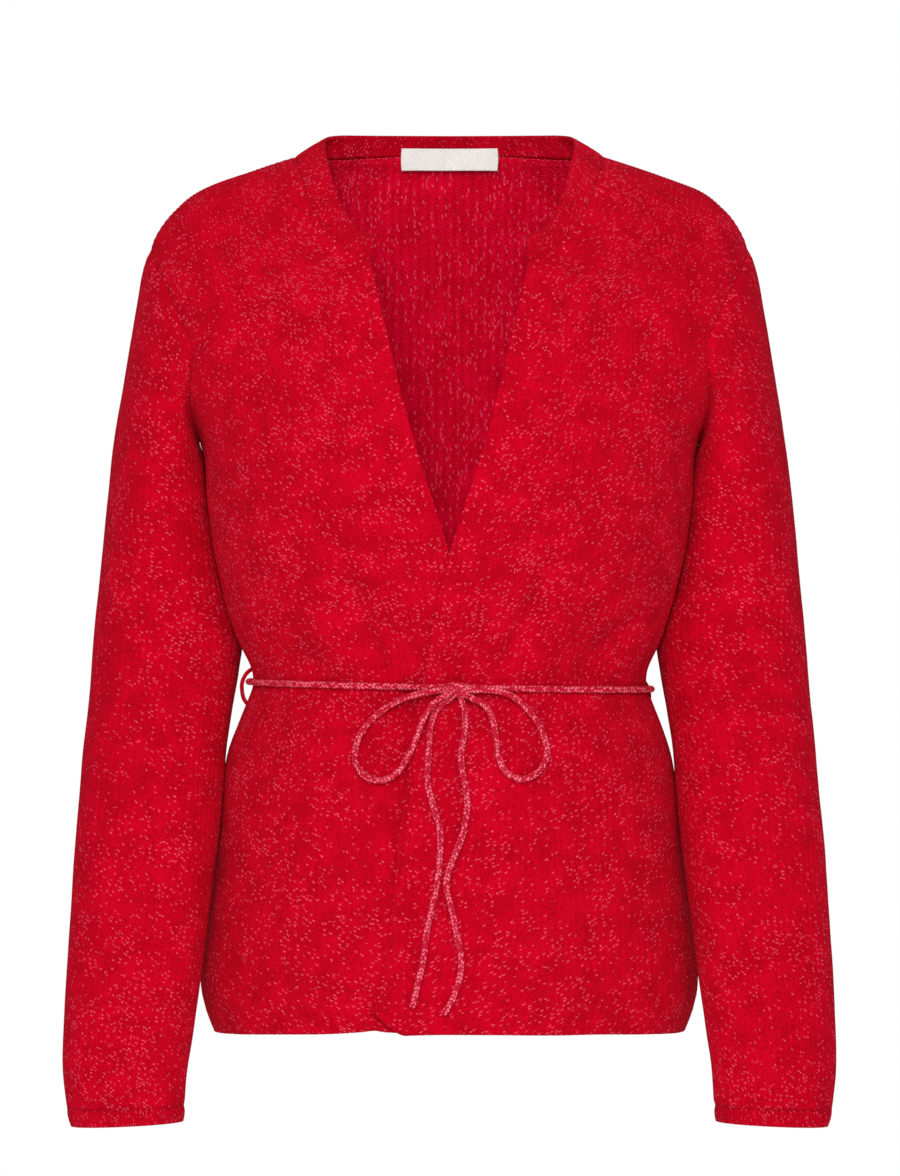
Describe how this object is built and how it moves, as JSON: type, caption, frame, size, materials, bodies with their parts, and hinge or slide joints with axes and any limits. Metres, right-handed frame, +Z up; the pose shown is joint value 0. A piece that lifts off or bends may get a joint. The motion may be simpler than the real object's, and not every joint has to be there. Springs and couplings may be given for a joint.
{
  "type": "wrap cardigan",
  "caption": "Long-sleeved knitted wrap cardigan filled out as worn, with a V front, a rib neckband and a thin cord belt tied in a bow at the waist.",
  "frame": {"origin": "at the level of the high point of the shoulder, midway between the shoulders and between front and back, where the wearer's neck and shoulders hold the garment", "axes": "+Z up, the front faces -Y, the wearer's left is at +X"},
  "size_m": [0.5112, 0.2348, 0.6625],
  "materials": {
    "knit": "ribbed knit with a brushed nap",
    "cord": "tubular knitted cord",
    "label": "smooth woven ribbon, blank"
  },
  "bodies": {
    "root": {"back": "knit", "left_front": "knit", "right_front": "knit", "left_sleeve": "knit", "right_sleeve": "knit", "left_cuff": "knit", "right_cuff": "knit", "neckband": "knit", "left_carrier": "knit", "right_carrier": "knit", "belt_waist": "cord", "belt_knot": "cord", "belt_bow_left": "cord", "belt_bow_right": "cord", "belt_tail_left": "cord", "belt_tail_right": "cord", "label": "label"}
  },
  "joints": []
}
